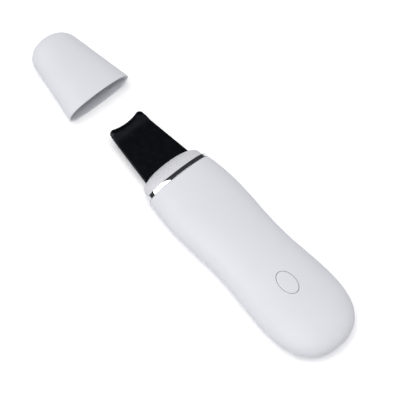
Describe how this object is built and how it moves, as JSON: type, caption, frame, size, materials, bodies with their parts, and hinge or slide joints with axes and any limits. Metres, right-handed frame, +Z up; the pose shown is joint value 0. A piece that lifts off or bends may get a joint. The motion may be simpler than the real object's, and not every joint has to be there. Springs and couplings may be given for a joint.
{
  "type": "skin scrubber",
  "caption": "Handheld ultrasonic skin scrubber: waisted white body, bent black blade, domed nose collar, bright trim ring, flush oval button and a pull-off cap.",
  "frame": {"origin": "centre of the flat land under the rear cover, on which the scrubber lies", "axes": "+Y along the body towards the blade and the cap, +Z up to the button side, +X to the right seen from above with the blade ahead"},
  "size_m": [0.045, 0.2158, 0.0161],
  "materials": {
    "white_shell": "satin moulded",
    "white_cap": "satin moulded",
    "white_key": "satin moulded",
    "frosted_collar": "frosted moulded",
    "polished_ring": "mirror polished",
    "black_blade": "black satin coating on steel",
    "dark_silicone": "soft matte",
    "frame_plastic": "moulded",
    "black_plastic": "moulded",
    "steel": "plated",
    "silvered_ceramic": "fired silver electrode",
    "board": "solder mask",
    "ferrite": "sintered",
    "winding": "taped",
    "capacitor_can": "drawn",
    "clear_lens": "cast resin",
    "battery_foil": "laminated foil",
    "lead_sleeve": "extruded sleeve"
  },
  "bodies": {
    "housing": {"upper_cover": "white_shell", "rear_cover": "white_shell", "trim_ring": "polished_ring", "nose_collar": "frosted_collar", "blade": "black_blade", "blade_seal": "dark_silicone", "nose_frame": "frame_plastic", "clamp_bar": "steel", "clamp_screws": "steel", "isolation_sleeves": "dark_silicone", "ceramic_discs": "silvered_ceramic", "switch_body": "steel", "main_board": "board", "board_screws": "steel", "charging_socket": "steel", "transformer_core": "ferrite", "transformer_winding": "winding", "power_inductor": "ferrite", "controller_chips": "black_plastic", "tall_capacitor": "capacitor_can", "chip_capacitors": "winding", "status_light": "clear_lens", "battery_cell": "battery_foil", "battery_pad": "dark_silicone", "battery_plug": "frame_plastic", "battery_leads": "lead_sleeve", "transducer_leads": "lead_sleeve"},
    "cap": {"protective_cap": "white_cap"},
    "button": {"power_button": "white_key", "switch_plunger": "black_plastic"}
  },
  "joints": [
    {"name": "cap_slide", "type": "slide", "parent": "housing", "child": "cap", "axis": [0, -0.9998, 0.0175], "range_m": [0, 0.05726]},
    {"name": "button_press", "type": "slide", "parent": "housing", "child": "button", "axis": [0, 0, -1], "range_m": [0, 0.0004], "stiffness_N_per_m": 2500}
  ]
}
